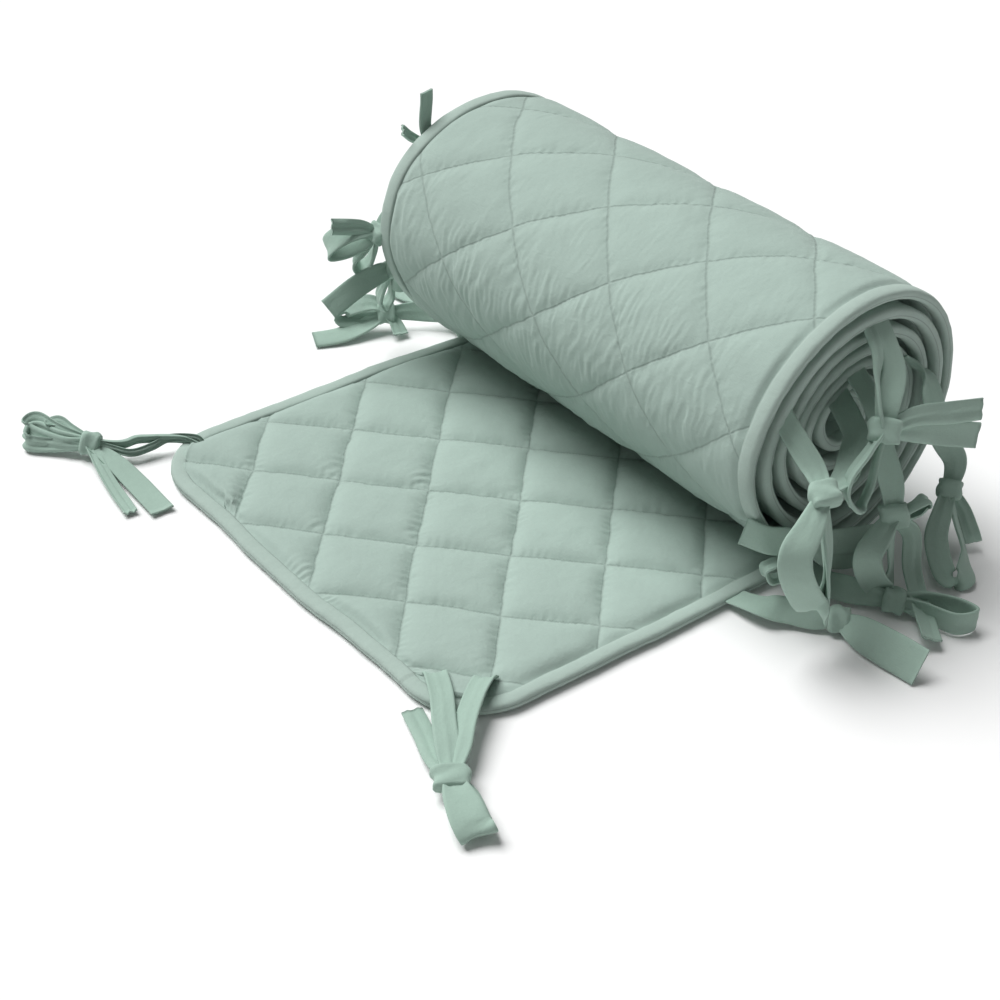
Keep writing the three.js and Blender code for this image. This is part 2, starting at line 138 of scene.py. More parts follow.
def ripple(a, b, seed):
    """Smooth random heights from -1 to 1: random values on a square net, blended between knots."""
    net = np.random.default_rng(seed).uniform(-1, 1, (128, 128))
    i, j = np.floor(a).astype(int), np.floor(b).astype(int)
    f, g = ease(a - i), ease(b - j)
    low = net[i % 128, j % 128] * (1 - f) + net[(i + 1) % 128, j % 128] * f
    high = net[i % 128, (j + 1) % 128] * (1 - f) + net[(i + 1) % 128, (j + 1) % 128] * f
    return low * (1 - g) + high * g


SEAM_PITCH_A, SEAM_PITCH_B = 51.71, 52.77      # between the lines of each family
SEAM_START_A, SEAM_START_B, SEAM_SLANT = 32.36, 11.43, 0.042
ROLL_LEAN, ROLL_STRETCH = 0.115, 1.115    # one family leans over and opens out round the roll


def quilting(x, y):
    """Counts the quilting lines of both slanting families up to a point: whole numbers lie on a
    line. The lines wander by a fraction of a millimetre, as sewn ones do."""
    u, v = (x + y) / np.sqrt(2), (x - y) / np.sqrt(2)
    wander_a = 0.8 * ripple(v / 24, u / 90, 3) + 0.45 * ripple(v / 5, u / 90, 13)
    wander_b = 0.8 * ripple(u / 24, v / 90, 4) + 0.45 * ripple(u / 5, v / 90, 14)
    a = (u + SEAM_SLANT * v + SEAM_START_A + wander_a) / SEAM_PITCH_A
    b = (v + SEAM_START_B + wander_b) / SEAM_PITCH_B
    return a, b


def pillow(gap):
    """Rise of the cloth away from a quilted line: quick at first, then a flat crown."""
    return 0.7 * (1 - np.exp(-gap / 3.6)) + 0.3 * (1 - (1 - np.minimum(gap / 26, 1)) ** 2)


def gathers(gap, along, seed):
    """Small puckers drawn in by the stitching: waves along a quilted line, about 5 mm apart, uneven
    in step and size, which die away a few millimetres from it."""
    step = along / 5.2 + 0.8 * ripple(along / 11, gap / 40, seed)
    size = ease(0.5 + 0.6 * ripple(along / 17, gap / 60 + 30, seed + 1))
    return size * np.sin(2 * np.pi * step) * (1 - np.exp(-gap / 1.2)) * np.exp(-gap / 4.5)


# Each link of the net: so many rows down, so many columns right, and its stiffness.
LINKS = ((1, 0, 0.9), (0, 1, 0.9), (1, 1, 0.4), (1, -1, 0.4), (2, 0, 0.4), (0, 2, 0.4))
SETTLE_STEPS = 160        # rounds of the cloth simulation


def settle_cloth(flat, wadding, held, slack, softness):
    """Cloth simulation of a quilted face: a net of points linked to their neighbours, each link
    longer than the flat net by the slack along it. Step by step the points keep some of their
    speed, are drawn back to the wadding, and are pushed until the links have their lengths, while
    the quilted lines stay put. The spare cloth stands up in creases square to the slack."""
    net = np.concatenate([flat, wadding[..., None]], axis=-1).astype(np.float32)
    home, hold = net.copy(), held[..., None].astype(np.float32)
    net[..., 2] += (1 - held) * np.random.default_rng(7).uniform(-0.1, 0.1, held.shape)
    before = net.copy()
    size = np.linalg.norm(slack, axis=-1) + 1e-6
    links = []
    for down, right, stiff in LINKS:
        one = slice(0, -down or None), slice(max(0, -right), -right if right > 0 else None)
        two = slice(down, None), slice(max(0, right), right if right < 0 else None)
        reach = flat[two] - flat[one]
        length = np.linalg.norm(reach, axis=-1)
        spare = (np.sum(reach * slack[one], axis=-1) / length) ** 2 / size[one]
        links.append((one, two, (length * (1 + spare)).astype(np.float32), stiff))
    for step in range(SETTLE_STEPS):
        speed = 0.9 * (net - before)
        before = net.copy()
        net = net + speed
        net[..., 2] += softness * (wadding - net[..., 2])
        for again in range(2):
            push = np.zeros_like(net)
            for one, two, rest, stiff in links:
                reach = net[two] - net[one]
                length = np.sqrt(np.sum(reach * reach, axis=-1)) + 1e-6
                share = (stiff * 0.25 * (1 - rest / length))[..., None] * reach
                push[one] += share
                push[two] -= share
            net = net + push
            net = net + (home - net) * hold
    return net


def creases(x, w, strength, seed):
    """Fine creases that run round the roll: noise drawn out along the panel, in three slants, each
    in patches of its own and as strong as the given strength there."""
    relief = 0 * x
    for k, slant in enumerate((-0.38, 0.0, 0.33)):
        patch = ease(0.45 + 0.9 * ripple(x / 17 + 40 * k, w / 15, seed + k))
        bent = w + slant * x + 2.5 * ripple(x / 12, w / 20 + 9 * k, seed + 5)
        relief = relief + patch * ripple(x / 13 + 9 * k, bent / 1.7, seed + 10 + k)
    return strength * relief


def quilted(a, b, inside, crown, seam_loft):
    """Gaps to the lines, wadding and hold of a quilted face: the wadding is the pillow of both
    families of lines with their gathers, flattened towards the bound edge, and the cloth is held
    at the lines."""
    gap_a = np.abs(a - np.round(a)) * SEAM_PITCH_A
    gap_b = np.abs(b - np.round(b)) * SEAM_PITCH_B
    wadding = seam_loft + (crown - seam_loft) * pillow(gap_a) * pillow(gap_b)
    wadding = wadding + GATHER_HEIGHT * (gathers(gap_a, b * SEAM_PITCH_B + 70 * np.floor(a), 21)
                                         + gathers(gap_b, a * SEAM_PITCH_A + 70 * np.floor(b), 23))
    wadding = EDGE_LOFT + (wadding - EDGE_LOFT) * ease((inside - 1.2) / 5)
    held = np.maximum(np.exp(-(gap_a / 1.1) ** 2), np.exp(-(gap_b / 1.1) ** 2))
    held[:, [0, -1]] = held[[0, -1]] = 1
    return gap_a, gap_b, wadding, held


GATHER_HEIGHT, EDGE_LOFT = 0.8, 1.3
A_WAY, B_WAY = np.array([1, 1]) / np.sqrt(2), np.array([1, -1]) / np.sqrt(2)


def open_face(s, w):
    """Upper face of the open end: slack that points away from one corner of each diamond makes
    curved creases about it, and slack along the lines makes short gathers beside them."""
    x, y = s - OPEN_END, w + sideways(s)
    inside = np.minimum(PANEL_HALF - QUILT_INSET - np.abs(w), s - QUILT_INSET)
    a, b = quilting(x, y)
    gap_a, gap_b, wadding, held = quilted(a, b, inside, OPEN_CROWN, SEAM_LOFT)
    wadding = wadding + (creases(x, y, 0.16, 81) + 0.3 * ripple(x / 9, y / 9, 19)) * (1 - held)
    from_a, from_b = (a - np.floor(a)) * SEAM_PITCH_A, (np.ceil(b) - b) * SEAM_PITCH_B
    apart = np.hypot(from_a, from_b) + 1e-3
    warped = apart + 5 * ripple(a * 6, b * 6, 27)
    away = (from_a[..., None] * A_WAY - from_b[..., None] * B_WAY) / apart[..., None]
    each = np.random.default_rng(5).uniform(0.25, 1, (64, 64))
    each = each[np.floor(a).astype(int) % 64, np.floor(b).astype(int) % 64]
    patchy_a, patchy_b = ease(ripple(a * 3, b * 3, 8) + 0.5), ease(ripple(a * 3, b * 3, 18) + 0.5)
    slack = away * (0.065 * each * np.exp(-((warped - 14) / 15) ** 2))[..., None]
    slack = slack + A_WAY * (0.10 * patchy_a * np.exp(-(gap_b / 6) ** 2))[..., None]
    slack = slack + B_WAY * (0.08 * patchy_b * np.exp(-(gap_a / 5) ** 2))[..., None]
    net = settle_cloth(np.stack([x, y], axis=-1), wadding, held, slack, 0.012)
    return a, b, net[..., 0] + OPEN_END, w + net[..., 1] - y, net[..., 2]


TURN_START, TURN_RADIUS = 8.9, 82     # the outer turn's quilting, counted along its outside


def roll_face(s, w):
    """Outside of the outer turn: slack across the panel makes fine creases that run round the
    roll in patches, most of them low down on the side of the open end."""
    angle = turn_at(s)
    x = TURN_START + TURN_RADIUS * angle + np.minimum(s - OPEN_END, 0)
    inside = PANEL_HALF - QUILT_INSET - np.abs(w)
    a, b = quilting(x, w)
    leant = 5 + (a - ROLL_LEAN * (b - 4.2) - 5.03) / ROLL_STRETCH
    a = a + (leant - a) * ease(angle / 1.8 - 0.5)
    gap_a, gap_b, wadding, held = quilted(a, b, inside, ROLL_CROWN, ROLL_SEAM_LOFT)
    low = ease((np.degrees(angle) - 195) / 75)
    lumps = 0.25 * ripple(x / 9, w / 9, 29)
    wadding = wadding + (creases(x, w, 0.10 + 0.42 * low, 91) + lumps) * (1 - held)
    patchy = 0.15 + 0.85 * ease(0.9 * ripple(x / 24, w / 24, 34) + 0.45)
    amount = patchy * (0.010 + 0.032 * low)
    turned = 0.55 * ripple(x / 19, w / 19, 35)
    slack = amount[..., None] * np.stack([np.sin(turned), np.cos(turned)], axis=-1)
    softness = 0.02 * 2.0 ** ripple(x / 13, w / 13, 36)
    net = settle_cloth(np.stack([x, w], axis=-1), wadding, held, slack, softness)
    lift = FLOOR_LIFT + ROLL_RADIUS * (1 - np.cos(angle))
    rise = np.where(angle < 0.6, np.minimum(net[..., 2], lift - 0.2), net[..., 2])
    return a, b, s + net[..., 0] - x, net[..., 1], rise


def plain_face(s, w):
    """Faces that lie against the floor or inside the roll: an even thickness of padding."""
    a, b = quilting(s - OPEN_END, w)
    return a, b, s, w, np.full_like(s, PLAIN_LOFT)


def quads_of(ids, flip):
    """Squares between neighbouring rows and columns of a grid of point numbers."""
    q = np.stack([ids[:-1, :-1], ids[1:, :-1], ids[1:, 1:], ids[:-1, 1:]], axis=-1).reshape(-1, 4)
    return q[:, ::-1] if flip else q


def zipped(low, high, flip):
    """Triangles between two rows with different numbers of points: each step of one row meets the
    nearest point of the other, and each step of the other meets the point where that changes."""
    steps = (np.arange(len(low) - 1) + 0.5) / (len(low) - 1)
    meets = np.round(steps * (len(high) - 1)).astype(int)
    change = np.searchsorted(meets, np.arange(len(high) - 1), side="right")
    first = np.stack([low[:-1], low[1:], high[meets]], axis=-1)
    second = np.stack([high[1:], high[:-1], low[change]], axis=-1)
    t = np.concatenate([first, second])
    return t[:, ::-1] if flip else t


def sew(name, points, quads, tris, maps):
    """Puts points, squares and triangles into a smooth mesh with its maps, one value a corner."""
    mesh = bpy.data.meshes.new(name)
    corners = np.concatenate([quads.ravel(), tris.ravel()]).astype(np.int32)
    sizes = np.concatenate([np.full(len(quads), 4), np.full(len(tris), 3)])
    mesh.vertices.add(len(points))
    mesh.vertices.foreach_set("co", points.astype(np.float32).ravel())
    mesh.loops.add(len(corners))
    mesh.loops.foreach_set("vertex_index", corners)
    mesh.polygons.add(len(sizes))
    mesh.polygons.foreach_set("loop_start", (np.cumsum(sizes) - sizes).astype(np.int32))
    mesh.update(calc_edges=True)
    mesh.validate()
    for map_name, uv in maps.items():
        layer = mesh.uv_layers.new(name=map_name)
        layer.data.foreach_set("uv", uv[corners].astype(np.float32).ravel())
    mesh.shade_smooth()
    piece = bpy.data.objects.new(name, mesh)
    bpy.context.scene.collection.objects.link(piece)
    return piece


corner_rows = QUILT_INSET + (CORNER_RADIUS - QUILT_INSET) * (1 - np.cos(np.linspace(0, np.pi / 2, 20)))
OPEN_COLUMNS, TURN_COLUMNS, UNDER_COLUMNS, PLAIN_COLUMNS = 227, 331, 13, 9
open_rows = np.arange(QUILT_INSET, 236, 1.25)
turn_rows = np.arange(238, 740, 2.2)
inner_rows = np.concatenate([np.arange(743, PANEL_LENGTH - CORNER_RADIUS - 2, 4.5),
                             PANEL_LENGTH - corner_rows[::-1]])
panel_points, seam_map, cloth_map = [], [], []
panel_quads, panel_tris = [], []
face_ids = {"inner": [], "outer": []}


def panel_face(side, rows, columns, relief):
    """One face of a stretch of the panel: rows across it, each as wide as the panel is there."""
    s = np.repeat(rows[:, None], columns, axis=1)
    w = half_width(s, QUILT_INSET) * np.linspace(-1, 1, columns)
    a, b, settled_s, settled_w, rise = relief(s, w)
    first = sum(len(p) for p in panel_points)
    ids = first + np.arange(s.size).reshape(s.shape)
    panel_points.append(lay(settled_s, settled_w, rise if side == "outer" else -rise).reshape(-1, 3))
    seam_map.append(np.stack([a, b], axis=-1).reshape(-1, 2))
    cloth_map.append(MILLIMETRE * np.stack([s, w + 200], axis=-1).reshape(-1, 2))
    panel_quads.append(quads_of(ids, side == "outer"))
    if face_ids[side]:
        panel_tris.append(zipped(face_ids[side][-1][-1], ids[0], side == "inner"))
    face_ids[side].append(ids)


panel_face("inner", open_rows, OPEN_COLUMNS, open_face)
panel_face("outer", open_rows, UNDER_COLUMNS, plain_face)
panel_face("inner", turn_rows, PLAIN_COLUMNS, plain_face)
panel_face("outer", turn_rows, TURN_COLUMNS, roll_face)
panel_face("inner", inner_rows, PLAIN_COLUMNS, plain_face)
panel_face("outer", inner_rows, PLAIN_COLUMNS, plain_face)
sides = {side: (np.concatenate([ids[:, 0] for ids in grids]),
                np.concatenate([ids[:, -1] for ids in grids]))
         for side, grids in face_ids.items()}
panel_quads.append(quads_of(np.stack([sides["inner"][0], sides["outer"][0]], axis=-1), True))
panel_quads.append(quads_of(np.stack([sides["inner"][1], sides["outer"][1]], axis=-1), False))
panel_tris.append(zipped(face_ids["inner"][0][0], face_ids["outer"][0][0], False))
panel_tris.append(zipped(face_ids["inner"][-1][-1], face_ids["outer"][-1][-1], True))
quilt_panel = sew("quilted_panel", np.concatenate(panel_points), np.concatenate(panel_quads),
                  np.concatenate(panel_tris),
                  {"cloth": np.concatenate(cloth_map), "seams": np.concatenate(seam_map)})

# Woven cotton, shared by the panel, the bound edge and the ties: fine threads both ways with
# uneven slubs, and a slow change of tone where the dye has washed out a little.
weave = bpy.data.node_groups.new("washed_cotton", "ShaderNodeTree")
weave.interface.new_socket("Cloth", in_out="INPUT", socket_type="NodeSocketVector")
weave.interface.new_socket("Dye", in_out="INPUT", socket_type="NodeSocketColor")
weave.interface.new_socket("Color", in_out="OUTPUT", socket_type="NodeSocketColor")
weave.interface.new_socket("Height", in_out="OUTPUT", socket_type="NodeSocketFloat")
weave.interface.new_socket("Roughness", in_out="OUTPUT", socket_type="NodeSocketFloat")


def node(tree, kind, settings=None, **inputs):
    """Adds a shader node, sets its options, and links or sets each named or numbered input."""
    made = tree.nodes.new(kind)
    for key, value in (settings or {}).items():
        setattr(made, key, value)
    for key, value in inputs.items():
        numbered = key[0] == "i" and key[1:].isdigit()
        socket = made.inputs[int(key[1:]) if numbered else key.replace("_", " ")]
        if isinstance(value, bpy.types.NodeSocket):
            tree.links.new(value, socket)
        else:
            socket.default_value = value
    return made


def maths(tree, operation, first, second=0.0, third=0.0):
    """One step of arithmetic on values that change over the surface."""
    return node(tree, "ShaderNodeMath", {"operation": operation}, i0=first, i1=second,
                i2=third).outputs[0]


into = weave.nodes.new("NodeGroupInput")
warp_way = node(weave, "ShaderNodeMapping", Vector=into.outputs["Cloth"],
                Scale=(260, 2600, 1)).outputs[0]
weft_way = node(weave, "ShaderNodeMapping", Vector=into.outputs["Cloth"],
                Scale=(2600, 260, 1)).outputs[0]
warp = node(weave, "ShaderNodeTexNoise", Vector=warp_way, Scale=1.0, Detail=2.0).outputs[0]
weft = node(weave, "ShaderNodeTexNoise", Vector=weft_way, Scale=1.0, Detail=2.0).outputs[0]
threads = maths(weave, "ADD", warp, weft)
fade = node(weave, "ShaderNodeTexNoise", Vector=into.outputs["Cloth"], Scale=38.0, Detail=4.0,
            Roughness=0.62).outputs[0]
crinkle = node(weave, "ShaderNodeTexNoise", Vector=into.outputs["Cloth"], Scale=240.0, Detail=3.0,
               Roughness=0.55, Distortion=0.6).outputs[0]
tone = maths(weave, "MULTIPLY_ADD", threads, 0.10, maths(weave, "MULTIPLY_ADD", fade, 0.16, 0.82))
tinted = node(weave, "ShaderNodeMix", {"data_type": "RGBA", "blend_type": "MULTIPLY"}, i0=1.0)
weave.links.new(into.outputs["Dye"], tinted.inputs[6])
grey = node(weave, "ShaderNodeCombineColor", i0=tone, i1=tone, i2=tone).outputs[0]
weave.links.new(grey, tinted.inputs[7])
out_of = weave.nodes.new("NodeGroupOutput")
weave.links.new(tinted.outputs[2], out_of.inputs["Color"])
weave.links.new(maths(weave, "MULTIPLY_ADD", crinkle, 3.0, threads), out_of.inputs["Height"])
weave.links.new(maths(weave, "MULTIPLY_ADD", fade, 0.16, 0.80), out_of.inputs["Roughness"])


def cloth_material(name, dye, bump_distance):
    """A matte cloth: the woven cotton group for its colour, roughness and bump, and a soft sheen."""
    material = bpy.data.materials.new(name)
    material.use_nodes = True
    tree = material.node_tree
    cotton = tree.nodes["Principled BSDF"]
    cotton.inputs["Sheen Weight"].default_value = 0.12
    cotton.inputs["Sheen Roughness"].default_value = 0.6
    cotton.inputs["Specular IOR Level"].default_value = 0.25
    thread_map = node(tree, "ShaderNodeUVMap", {"uv_map": "cloth"}).outputs[0]
    woven = node(tree, "ShaderNodeGroup", {"node_tree": weave}, Cloth=thread_map, Dye=dye)
    tree.links.new(woven.outputs["Color"], cotton.inputs["Base Color"])
    tree.links.new(woven.outputs["Roughness"], cotton.inputs["Roughness"])
    bump = node(tree, "ShaderNodeBump", Strength=0.5, Distance=bump_distance,
                Height=woven.outputs["Height"])
    tree.links.new(bump.outputs[0], cotton.inputs["Normal"])
    return material, tree, cotton, woven, bump


quilt_cloth, tree, cotton, woven, bump = cloth_material("quilt_cloth", (0.37, 0.475, 0.425, 1), 0.0002)
seam_places = node(tree, "ShaderNodeUVMap", {"uv_map": "seams"}).outputs[0]
seam_uv = node(tree, "ShaderNodeSeparateXYZ", i0=seam_places)
gap_a = maths(tree, "MULTIPLY", maths(tree, "PINGPONG", seam_uv.outputs[0], 0.5), SEAM_PITCH_A)
gap_b = maths(tree, "MULTIPLY", maths(tree, "PINGPONG", seam_uv.outputs[1], 0.5), SEAM_PITCH_B)


STITCH, SEAM_REACH = 3.4, 1.1         # length of one stitch, and how far to each side the line shows


def seam_line(tree, gap, along):
    """Depth of a row of stitches: one on the line and none a millimetre off it, with a dip at each
    stitch along it."""
    off = node(tree, "ShaderNodeMapRange", {"interpolation_type": "SMOOTHSTEP"}, Value=gap,
               From_Max=SEAM_REACH).outputs[0]
    stitch = maths(tree, "SINE", maths(tree, "MULTIPLY", along, 2 * np.pi / STITCH))
    dips = maths(tree, "MULTIPLY_ADD", stitch, 0.1, 0.9)
    return maths(tree, "MULTIPLY", maths(tree, "SUBTRACT", 1.0, off), dips)


line_a = seam_line(tree, gap_a, maths(tree, "MULTIPLY", seam_uv.outputs[1], SEAM_PITCH_B))
line_b = seam_line(tree, gap_b, maths(tree, "MULTIPLY", seam_uv.outputs[0], SEAM_PITCH_A))
sewn = maths(tree, "MAXIMUM", line_a, line_b)
sunk = maths(tree, "MULTIPLY_ADD", sewn, -3.0, woven.outputs["Height"])
tree.links.new(sunk, bump.inputs["Height"])
SEAM_PAINTED_SHADE = 0.2          # painted shade: the quilted lines are this much darker than the cloth, for the shadow in their grooves
# Painted shade along the quilted lines, multiplied into the cloth's colour.
shade = maths(tree, "MULTIPLY_ADD", sewn, -SEAM_PAINTED_SHADE, 1.0)
shaded = node(tree, "ShaderNodeMix", {"data_type": "RGBA", "blend_type": "MULTIPLY"}, i0=1.0)
tree.links.new(woven.outputs["Color"], shaded.inputs[6])
shade_grey = node(tree, "ShaderNodeCombineColor", i0=shade, i1=shade, i2=shade).outputs[0]
tree.links.new(shade_grey, shaded.inputs[7])
tree.links.new(shaded.outputs[2], cotton.inputs["Base Color"])
quilt_panel.data.materials.append(quilt_cloth)
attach(quilt_panel, "root")
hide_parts("quilt_open_end", "quilt_roll")

# The bound edge: a strip of the same cloth folded over the panel's raw edge and stitched down,
# which makes a soft rounded rim. It runs once round the whole outline, corners included.
BINDING_HALF_WIDTH, BINDING_HALF_DEPTH = 4.8, 3.0
INNER_HALF_DEPTH = 3.4        # not drawn so tight inside the roll
RIM_MIDDLE = 4.5              # from the panel's edge to the rim's middle line
RIM_GIRTH = 3.9               # cloth round the rim, a radian
RIM_FLATNESS = 0.65           # below one makes the rim's section squarer


def edge_run():
    """The rim's middle line in length and width of the panel, with the way outwards: down one long
    side, round two corners at the rolled-in end, back up the other side, round the open end."""
    side, arc = PANEL_HALF - RIM_MIDDLE, CORNER_RADIUS - RIM_MIDDLE
    bend = np.linspace(0, np.pi / 2, 15)
    long = np.arange(CORNER_RADIUS + 2.5, PANEL_LENGTH - CORNER_RADIUS - 1, 2.8)
    end = np.linspace(-(side - arc), side - arc, 70)[1:-1]
    near = (CORNER_RADIUS - arc * np.cos(bend), -(side - arc + arc * np.sin(bend)),
            -np.cos(bend), -np.sin(bend))
    still = np.zeros_like(long)
    parts = [near, (long, still - side, still, still - 1),
             (PANEL_LENGTH - near[0][::-1], near[1][::-1], -near[2][::-1], near[3][::-1]),
             (0 * end + PANEL_LENGTH - RIM_MIDDLE, end, 0 * end + 1, 0 * end),
             (PANEL_LENGTH - near[0], -near[1], -near[2], -near[3]),
             (long[::-1], still + side, still, still + 1),
             (near[0][::-1], -near[1][::-1], near[2][::-1], -near[3][::-1]),
             (0 * end + RIM_MIDDLE, -end, 0 * end - 1, 0 * end)]
    return [np.concatenate(column)[:, None] for column in zip(*parts)]


edge_s, edge_w, edge_ahead, edge_across = edge_run()
step = np.hypot(np.diff(edge_s[:, 0]), np.diff(edge_w[:, 0]))
edge_length = np.concatenate([[0], np.cumsum(step)])[:, None]
round_angle = np.linspace(0, 2 * np.pi, 21)[None, :-1]
inner_turn = ease((turn_at(edge_s) - 5.5) / 1.5)
edge_depth = BINDING_HALF_DEPTH - (BINDING_HALF_DEPTH - INNER_HALF_DEPTH) * inner_turn
out, up = np.cos(round_angle), np.sin(round_angle)
edge_out = BINDING_HALF_WIDTH * np.sign(out) * np.abs(out) ** RIM_FLATNESS
edge_rise = edge_depth * np.sign(up) * np.abs(up) ** RIM_FLATNESS
gather = 1 + 0.05 * ripple(edge_length / 5.5, 2 * np.sin(round_angle) + 40, 41)
wave = 0.5 * ripple(edge_length / 30, 0 * edge_length, 42)
edge_out = edge_out * gather + wave
edge_rise = edge_rise * gather
edge_points = lay(edge_s + edge_ahead * edge_out, edge_w + edge_across * edge_out,
                  edge_rise + 0 * edge_s)
edge_points[..., 2] = np.maximum(edge_points[..., 2], 0.0002)
edge_ids = np.arange(edge_points[..., 0].size).reshape(edge_points.shape[:2])
edge_ids = np.concatenate([edge_ids, edge_ids[:1]])
edge_ids = np.concatenate([edge_ids, edge_ids[:, :1]], axis=1)
edge_map = np.stack(np.broadcast_arrays(edge_length, RIM_GIRTH * round_angle), axis=-1).reshape(-1, 2)
bound_edge = sew("bound_edge", edge_points.reshape(-1, 3), quads_of(edge_ids, True),
                 np.zeros((0, 3), int), {"cloth": MILLIMETRE * edge_map})
# Painted shadow: darker along the ditch where the folded strip meets the panel.
binding_cloth, tree, cotton, woven, bump = cloth_material("binding_cloth", (0.39, 0.49, 0.44, 1), 0.0002)
rim_places = node(tree, "ShaderNodeUVMap", {"uv_map": "cloth"}).outputs[0]
round_rim = node(tree, "ShaderNodeSeparateXYZ", i0=rim_places).outputs[1]
from_ditch = maths(tree, "ABSOLUTE", maths(tree, "SUBTRACT", round_rim, MILLIMETRE * RIM_GIRTH * np.pi))
# The painted shadow in the ditch: down to 0.7 of the cloth's colour on the line, fading out over two
# millimetres.
ditch_shadow = node(tree, "ShaderNodeMapRange", {"interpolation_type": "SMOOTHSTEP"}, Value=from_ditch,
             From_Min=0.0022, From_Max=0.0042, To_Min=0.7, To_Max=1.0).outputs[0]
shaded = node(tree, "ShaderNodeMix", {"data_type": "RGBA", "blend_type": "MULTIPLY"}, i0=1.0)
tree.links.new(woven.outputs["Color"], shaded.inputs[6])
ditch_shadow_grey = node(tree, "ShaderNodeCombineColor", i0=ditch_shadow, i1=ditch_shadow, i2=ditch_shadow).outputs[0]
tree.links.new(ditch_shadow_grey, shaded.inputs[7])
tree.links.new(shaded.outputs[2], cotton.inputs["Base Color"])
bound_edge.data.materials.append(binding_cloth)
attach(bound_edge, "root")
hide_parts("binding")

# The ties: narrow strips of the same cloth, folded to a flat tape, sewn in under the bound edge
# and tied in bows. Each bow is the stems from the edge, a knot, its loops and its loose tails.
TIE_WIDTH, TIE_THICK, GATHERED = 15.0, 1.5, 8.0
KNOT_ACROSS, KNOT_DEEP, KNOT_LONG = 6.9, 4.5, 6.2
KNOT_TAKES, TIE_LIFT = 20, 0.25     # length used up in a knot, and height kept above the floor


def along_curve(points, count):
    """Smooth curve through points: between two of them a cubic whose slope at each is half of the
    step between its neighbours. Gives evenly numbered points along it."""
    p = np.asarray(points, float)
    p = np.concatenate([[2 * p[0] - p[1]], p, [2 * p[-1] - p[-2]]])
    t = np.linspace(0, len(points) - 1, count)
    k = np.minimum(t.astype(int), len(points) - 2)
    f = (t - k)[:, None]
    a, b, c, d = p[k], p[k + 1], p[k + 2], p[k + 3]
    return 0.5 * (2 * b + (c - a) * f + (2 * a - 5 * b + 4 * c - d) * f ** 2
                  + (3 * b - a - 3 * c + d) * f ** 3)


def tape(points, ways, widths, seed):
    """A strip of folded cloth along a curve: a thin flat section with rounded edges, turned so that
    its width follows the given ways, cupped a little, and pleated where it is gathered narrow."""
    count = 9 * len(points) - 8
    run = along_curve(points, count)
    way = along_curve(np.broadcast_to(ways, np.shape(points)), count)
    width = along_curve(np.asarray(widths, float)[:, None], count)
    forward = np.gradient(run, axis=0)
    forward /= np.linalg.norm(forward, axis=1, keepdims=True)
    way = way - forward * np.sum(way * forward, axis=1, keepdims=True)
    way /= np.linalg.norm(way, axis=1, keepdims=True)
    face = np.cross(forward, way)
    across = np.array([-1, -0.95, -0.78, -0.46, -0.15, 0.15, 0.46, 0.78, 0.95, 1])
    thick = TIE_THICK / 2 * np.array([0.4, 0.95, 1.05, 0.95, 0.9, 0.9, 0.95, 1.05, 0.95, 0.4])
    narrow = np.clip(1 - width / TIE_WIDTH, 0, 0.6)
    length = np.arange(count)[:, None] / 9
    cup = (0.9 * ripple(length * 0.8, 0 * length + seed, 51) * (across ** 2 - 0.4)
           + 1.9 * narrow * np.cos(2.2 * np.pi * across + seed)
           + 0.3 * ripple(length * 1.6, across * 1.5 + seed * 3.1, 52))
    spot = run[:, None] + way[:, None] * (across * width / 2)[..., None]
    top = spot + face[:, None] * (cup + thick)[..., None]
    under = spot + face[:, None] * (cup - thick)[..., None]
    points = np.concatenate([top, under[:, ::-1]], axis=1)
    ids = np.arange(count * 20).reshape(count, 20)
    rings = quads_of(np.concatenate([ids, ids[:, :1]], axis=1), False)
    caps = np.concatenate([quads_of(np.stack([ids[0, :10], ids[0, :9:-1]]), False),
                           quads_of(np.stack([ids[-1, :10], ids[-1, :9:-1]]), True)])
    span = np.concatenate([[0], np.cumsum(np.linalg.norm(np.diff(run, axis=0), axis=1))])
    flat = np.concatenate([across, across[::-1] + 2.2]) * TIE_WIDTH / 2
    uv = np.stack(np.broadcast_arrays(span[:, None] + seed * 7, flat[None]), axis=-1)
    return points.reshape(-1, 3), np.concatenate([rings, caps]), uv.reshape(-1, 2), span[-1]


def knot_of(middle, size, axis, way, seed):
    """The knot: a flat squarish wrap of cloth about the bow's line, ridged by the slanting turns of
    the strip around it. A rounded box whose sides swell and dip in a slow slanting wave."""
    axis = np.asarray(axis, float) / np.linalg.norm(axis)
    deep = np.cross(axis, way)
    deep /= np.linalg.norm(deep)
    across = np.cross(deep, axis)
    along = np.linspace(-1, 1, 17)[:, None]
    turn = np.linspace(0, 2 * np.pi, 29)[None, :-1]
    box = (np.abs(np.cos(turn)) ** 4 + np.abs(np.sin(turn)) ** 4) ** (-1 / 4)
    ends = np.maximum(1 - np.abs(along) ** 7, 0) ** (1 / 4)
    folds = 1 + 0.07 * np.sin(4.6 * along + 2.6 * np.cos(turn + 0.7 * seed)) + 0.06 * ripple(
        along * 2 + 9, 2 * np.cos(turn) + 5, 60 + seed)
    radius = box * ends * folds
    wide, thick, tall = np.broadcast_to(size, 3) * (KNOT_ACROSS, KNOT_DEEP, KNOT_LONG)
    points = (np.asarray(middle, float) + axis * (tall * along + 0 * turn)[..., None]
              + across * (wide * radius * np.cos(turn))[..., None]
              + deep * (thick * radius * np.sin(turn))[..., None])
    ids = np.arange(points[..., 0].size).reshape(points.shape[:2])
    uv = np.stack(np.broadcast_arrays(8 * along, 8 * turn), axis=-1)
    rings = quads_of(np.concatenate([ids, ids[:, :1]], axis=1), False)
    return points.reshape(-1, 3), rings, uv.reshape(-1, 2), 0


def turn_length(degrees):
    """Length along the panel at an angle round the roll."""
    return OPEN_END + np.interp(np.radians(degrees), TURN_ANGLES, TURN_LENGTHS)


